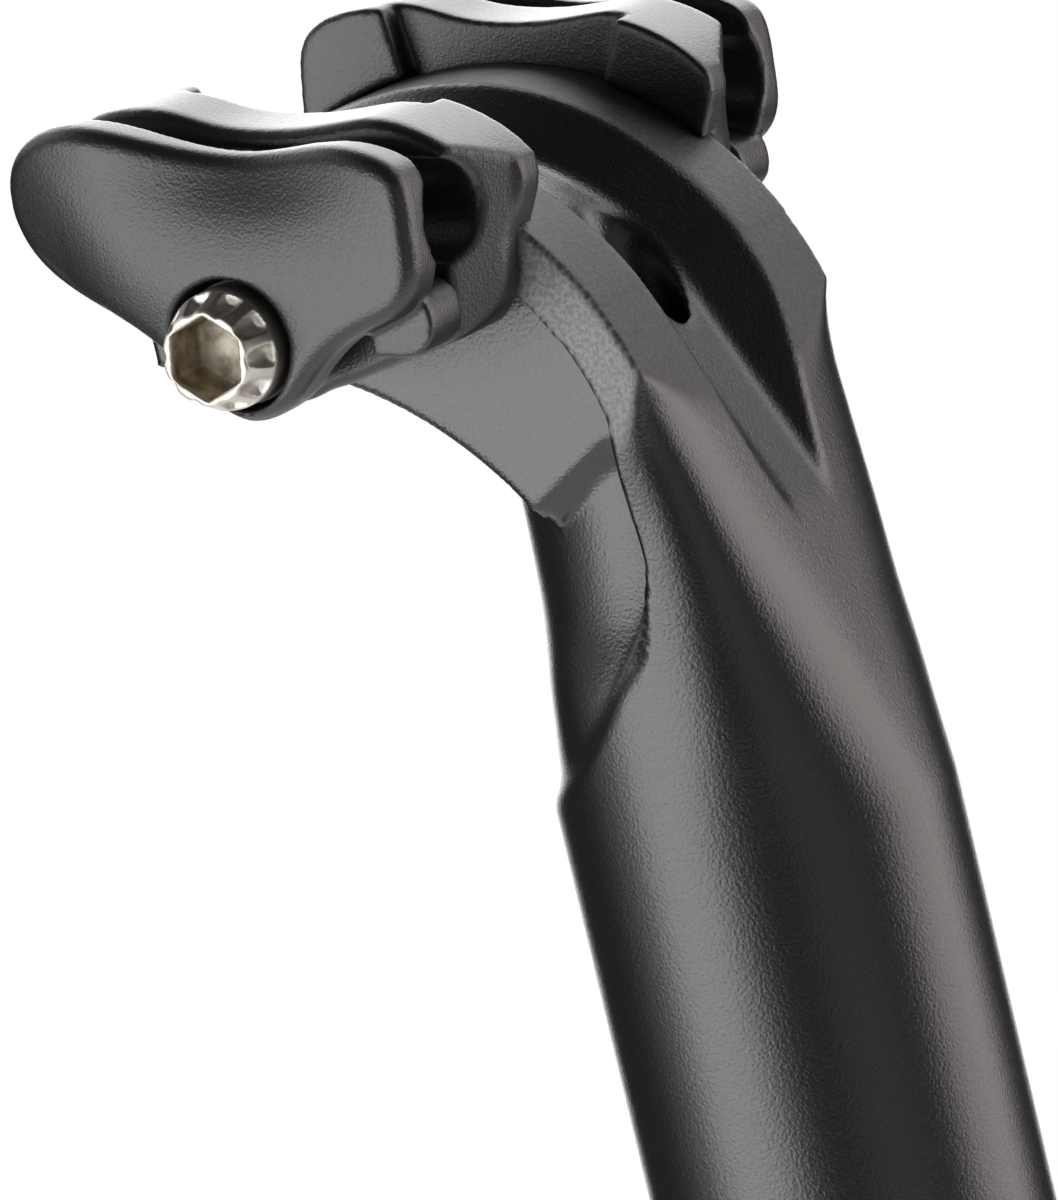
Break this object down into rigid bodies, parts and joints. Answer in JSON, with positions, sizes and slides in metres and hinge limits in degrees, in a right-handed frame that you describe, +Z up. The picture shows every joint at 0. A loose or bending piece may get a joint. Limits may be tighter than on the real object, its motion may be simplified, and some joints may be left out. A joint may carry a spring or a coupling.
{
  "type": "bicycle seatpost",
  "caption": "Straight round post with a forged, curved setback head and a one-bolt side clamp that holds two saddle rails and tilts to level the saddle.",
  "frame": {"origin": "centre of the tube's lower end", "axes": "+Z up the tube, +X forward, away from the setback, +Y to the left, along the clamp bolt towards its nut"},
  "size_m": [0.0465, 0.0613, 0.3582],
  "materials": {
    "black_forging": "satin black",
    "black_clamp": "fine pebbled black",
    "plated_steel": "bright plated",
    "black_steel": "black oxide"
  },
  "bodies": {
    "post": {"post": "black_forging"},
    "cradle": {"inner_clamp_right": "black_clamp", "inner_clamp_left": "black_clamp"},
    "right_jaw": {"outer_clamp_right": "black_clamp", "bolt_washer": "black_steel"},
    "left_jaw": {"outer_clamp_left": "black_clamp", "clamp_nut": "plated_steel"},
    "bolt": {"clamp_bolt": "plated_steel"}
  },
  "joints": [
    {"name": "saddle_tilt", "type": "hinge", "parent": "post", "child": "cradle", "pos_m": [-0.01835, 0, 0.3266], "axis": [0, 1, 0], "range_deg": [-8, 8]},
    {"name": "right_jaw_open", "type": "slide", "parent": "cradle", "child": "right_jaw", "axis": [0, -1, 0], "range_m": [0, 0.002]},
    {"name": "left_jaw_open", "type": "slide", "parent": "cradle", "child": "left_jaw", "axis": [0, 1, 0], "range_m": [0, 0.002]},
    {"name": "bolt_turn", "type": "hinge", "parent": "right_jaw", "child": "bolt", "pos_m": [-0.01549, -0.025, 0.34204], "axis": [0, -1, 0], "range_deg": [0, 1440]}
  ],
  "couplings": [
    {"joint": "bolt_turn", "follows": "right_jaw_open", "rad_per_m": 12566},
    {"joint": "left_jaw_open", "follows": "right_jaw_open", "ratio": 0.99999}
  ]
}
